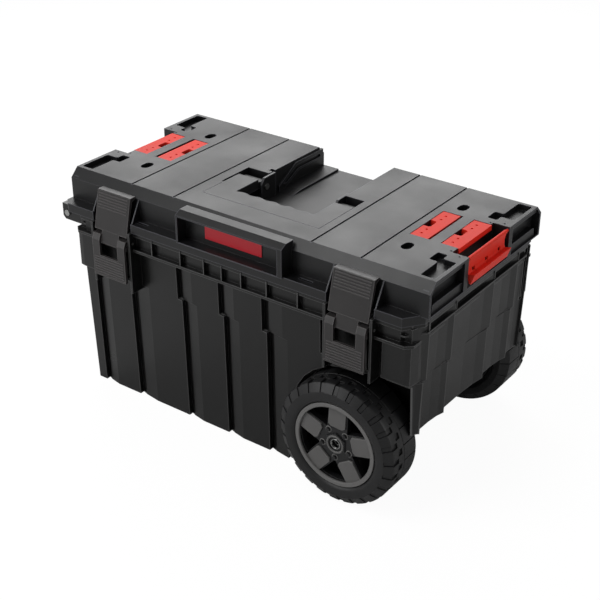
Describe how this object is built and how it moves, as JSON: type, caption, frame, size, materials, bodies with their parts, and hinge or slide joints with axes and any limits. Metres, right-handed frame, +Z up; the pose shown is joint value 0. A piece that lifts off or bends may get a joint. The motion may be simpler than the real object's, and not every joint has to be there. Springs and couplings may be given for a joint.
{
  "type": "rolling toolbox",
  "caption": "Moulded rolling tub with a hinged stacking lid, draw latches, flush carry handle, side clip, fold-down pull handle and treaded wheels.",
  "frame": {"origin": "middle of the flat base of the tub, at floor level, half way along the lid's length and half way between front and rear walls", "axes": "+X along the length towards the wheels, +Y towards the lid's hinges, +Z up"},
  "size_m": [0.816, 0.4926, 0.4437],
  "materials": {
    "tub_plastic": "moulded black plastic, satin",
    "lid_plastic": "moulded black plastic, fine grain",
    "latch_plastic": "moulded dark grey plastic",
    "rim_plastic": "moulded dark grey plastic",
    "tyre": "black rubber",
    "seal": "black rubber",
    "red_plastic": "red-orange plastic",
    "label_red": "crimson plastic, bare",
    "steel": "zinc-plated steel"
  },
  "bodies": {
    "tub": {"tub": "tub_plastic", "latch_pin_left": "steel", "latch_pin_right": "steel", "hinge_pin_left": "steel", "hinge_pin_right": "steel", "axle": "steel", "circlip_front": "steel", "circlip_rear": "steel", "axle_spacer_front": "tub_plastic", "axle_spacer_rear": "tub_plastic", "pull_bolt_front": "steel", "pull_bolt_rear": "steel"},
    "lid": {"lid_shell": "lid_plastic", "lid_seal": "seal", "label_plate": "label_red", "handle_pin_left": "steel", "handle_pin_right": "steel", "insert_left_inner": "red_plastic", "insert_left_outer": "red_plastic", "insert_right_inner": "red_plastic", "insert_right_outer": "red_plastic"},
    "carry_handle": {"carry_handle": "lid_plastic"},
    "lever_left": {"latch_lever_left": "latch_plastic", "link_pin_left": "steel"},
    "lever_right": {"latch_lever_right": "latch_plastic", "link_pin_right": "steel"},
    "clip_left": {"latch_clip_left": "latch_plastic"},
    "clip_right": {"latch_clip_right": "latch_plastic"},
    "side_clip": {"side_clip": "red_plastic"},
    "pull_handle": {"pull_handle": "tub_plastic"},
    "wheel_front": {"rim_front": "rim_plastic", "tyre_front": "tyre", "wheel_bearing_front": "steel"},
    "wheel_rear": {"rim_rear": "rim_plastic", "tyre_rear": "tyre", "wheel_bearing_rear": "steel"}
  },
  "joints": [
    {"name": "lid_hinge", "type": "hinge", "parent": "tub", "child": "lid", "pos_m": [0, 0.2205, 0.355], "axis": [-1, 0, 0], "range_deg": [0, 100]},
    {"name": "carry_handle_fold", "type": "hinge", "parent": "lid", "child": "carry_handle", "pos_m": [0, -0.0045, 0.4255], "axis": [-1, 0, 0], "range_deg": [0, 86]},
    {"name": "lever_left_swing", "type": "hinge", "parent": "tub", "child": "lever_left", "pos_m": [-0.266, -0.2135, 0.347], "axis": [-1, 0, 0], "range_deg": [0, 120]},
    {"name": "lever_right_swing", "type": "hinge", "parent": "tub", "child": "lever_right", "pos_m": [0.25602, -0.2135, 0.347], "axis": [-1, 0, 0], "range_deg": [0, 120]},
    {"name": "clip_left_swing", "type": "hinge", "parent": "lever_left", "child": "clip_left", "pos_m": [-0.266, -0.2205, 0.335], "axis": [1, 0, 0], "range_deg": [0, 150]},
    {"name": "clip_right_swing", "type": "hinge", "parent": "lever_right", "child": "clip_right", "pos_m": [0.25602, -0.2205, 0.335], "axis": [1, 0, 0], "range_deg": [0, 150]},
    {"name": "side_clip_swing", "type": "hinge", "parent": "lid", "child": "side_clip", "pos_m": [0.3835, 0, 0.4372], "axis": [0, -1, 0], "range_deg": [0, 120]},
    {"name": "pull_handle_swing", "type": "hinge", "parent": "tub", "child": "pull_handle", "pos_m": [-0.406, 0, 0.35], "axis": [0, 1, 0], "range_deg": [0, 100]},
    {"name": "wheel_front_spin", "type": "hinge", "parent": "tub", "child": "wheel_front", "pos_m": [0.25, -0.20215, 0.117], "axis": [0, 1, 0], "continuous": true},
    {"name": "wheel_rear_spin", "type": "hinge", "parent": "tub", "child": "wheel_rear", "pos_m": [0.25, 0.20215, 0.117], "axis": [0, 1, 0], "continuous": true}
  ],
  "couplings": [
    {"joint": "clip_left_swing", "follows": "lever_left_swing", "ratio": 1.25},
    {"joint": "clip_right_swing", "follows": "lever_right_swing", "ratio": 1.25}
  ]
}
